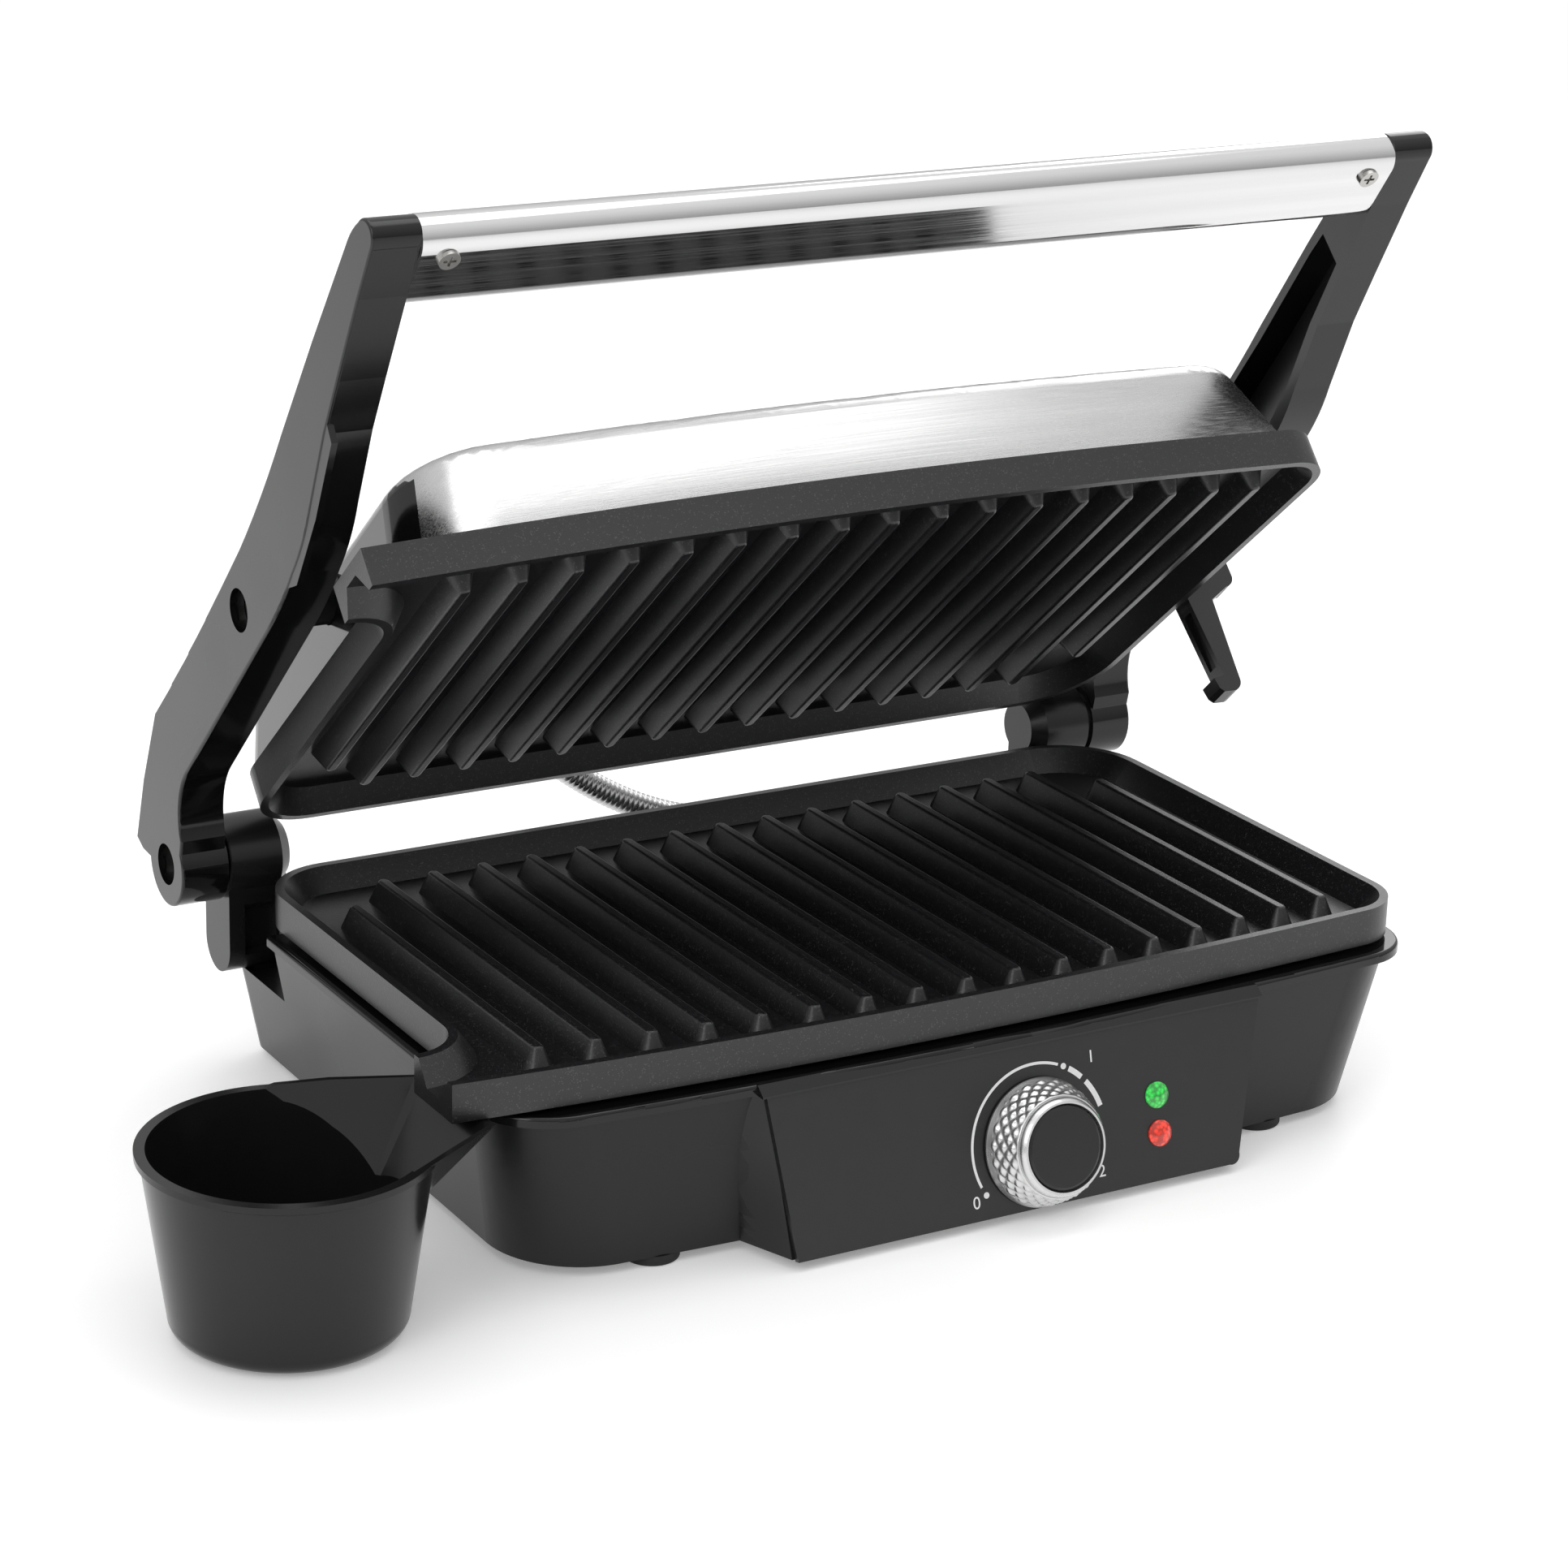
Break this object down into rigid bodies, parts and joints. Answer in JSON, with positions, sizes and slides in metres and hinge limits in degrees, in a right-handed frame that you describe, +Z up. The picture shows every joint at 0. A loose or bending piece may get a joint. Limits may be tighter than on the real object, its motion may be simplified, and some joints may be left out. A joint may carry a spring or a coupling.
{
  "type": "panini press",
  "caption": "Contact grill with a floating ribbed lid in a folding handle frame, a control dial and a drip cup under its grease spout.",
  "frame": {"origin": "middle of the footprint at table height, with the lid half open and the drip cup in place", "axes": "+X to the cook's right, +Y from the cook to the hinge, +Z up"},
  "size_m": [0.4197, 0.2409, 0.2847],
  "materials": {
    "housing": "satin moulded black",
    "panel": "satin black panel",
    "nonstick": "black non-stick coating with a fine fleck",
    "heater": "sheathed element",
    "sheet_steel": "bright sheet",
    "electrical": "electrical moulding",
    "screw": "zinc-plated steel",
    "foot": "black rubber",
    "arm": "satin black",
    "post": "matte black",
    "steel": "brushed stainless steel",
    "handle": "polished stainless steel",
    "knob": "silver paint with a soft knurl",
    "cap": "black",
    "cup": "satin black",
    "green_lens": "green lens",
    "red_lens": "red lens",
    "lamp": "lamp glass",
    "conduit": "spiral steel conduit"
  },
  "bodies": {
    "base": {"base_housing": "housing", "bottom_cover": "housing", "control_panel": "panel", "ready_lens": "green_lens", "power_lens": "red_lens", "ready_lamp": "lamp", "power_lamp": "lamp", "lower_plate": "nonstick", "lower_heater": "heater", "lower_reflector": "sheet_steel", "thermostat": "electrical", "lower_fuse": "electrical", "terminal_block": "electrical", "cord_inlet": "housing", "hinge_post_left": "post", "hinge_post_right": "post", "hinge_screw_left": "screw", "hinge_screw_right": "screw", "foot_front_left": "foot", "foot_front_right": "foot", "foot_rear_left": "foot", "foot_rear_right": "foot", "housing_screws": "screw", "plate_screws": "screw", "conduit": "conduit", "conduit_nut_base": "screw"},
    "arms": {"arm_left": "arm", "arm_right": "arm", "handle_shell": "handle", "handle_core": "housing", "handle_screws": "screw", "hinge_washer_left": "screw", "hinge_washer_right": "screw", "latch_pin": "screw", "latch_spring": "screw"},
    "lid": {"lid_cover": "steel", "lid_frame": "housing", "upper_plate": "nonstick", "upper_heater": "heater", "upper_reflector": "sheet_steel", "upper_fuse": "electrical", "lid_pivot_left": "screw", "lid_pivot_right": "screw", "lid_screws": "screw", "lid_terminal": "electrical"},
    "latch_hook": {"latch": "arm"},
    "knob_group": {"knob": "knob", "knob_cap": "cap", "thermostat_shaft": "screw"},
    "cup": {"drip_cup": "cup"}
  },
  "joints": [
    {"name": "lid_open", "type": "hinge", "parent": "base", "child": "arms", "pos_m": [0.03415, 0.0962, 0.0657], "axis": [-1, 0, 0], "range_deg": [-42.8, 135.3], "deforming": ["conduit"]},
    {"name": "lid_tilt", "type": "hinge", "parent": "arms", "child": "lid", "pos_m": [0.03415, 0.03879, 0.15952], "axis": [-1, 0, 0], "range_deg": [0, 10]},
    {"name": "latch_swing", "type": "hinge", "parent": "arms", "child": "latch_hook", "pos_m": [0.19215, 0.05343, 0.13195], "axis": [0, -0.7108, 0.7034], "range_deg": [0, 14], "stiffness_Nm_per_rad": 0.05, "springref_deg": -5.73},
    {"name": "knob_turn", "type": "hinge", "parent": "base", "child": "knob_group", "pos_m": [0.04465, -0.1043, 0.021], "axis": [0, -0.9701, 0.2425], "range_deg": [-46, 198]},
    {"name": "cup_slide", "type": "slide", "parent": "base", "child": "cup", "axis": [-1, 0, 0], "range_m": [0, 0.07]}
  ]
}
